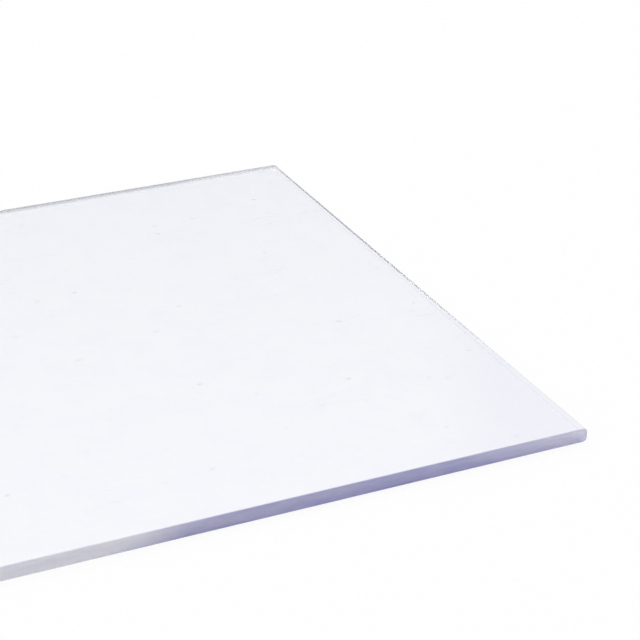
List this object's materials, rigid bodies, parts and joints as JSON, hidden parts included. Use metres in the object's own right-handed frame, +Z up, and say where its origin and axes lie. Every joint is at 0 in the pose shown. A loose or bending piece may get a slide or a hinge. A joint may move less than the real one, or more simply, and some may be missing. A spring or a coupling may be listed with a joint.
{
  "type": "polycarbonate sheet",
  "caption": "Flat rectangular sheet of clear solid polycarbonate, cut to size, with glossy faces, milled edges and all edges and corners eased.",
  "frame": {"origin": "centre of the sheet's underside, at the level of the surface that it lies on", "axes": "+X along the sheet's length, +Y across its width, +Z up through its thickness"},
  "size_m": [0.297, 0.21, 0.004],
  "materials": {
    "clear_polycarbonate": "gloss"
  },
  "bodies": {
    "root": {"sheet": "clear_polycarbonate"}
  },
  "joints": []
}
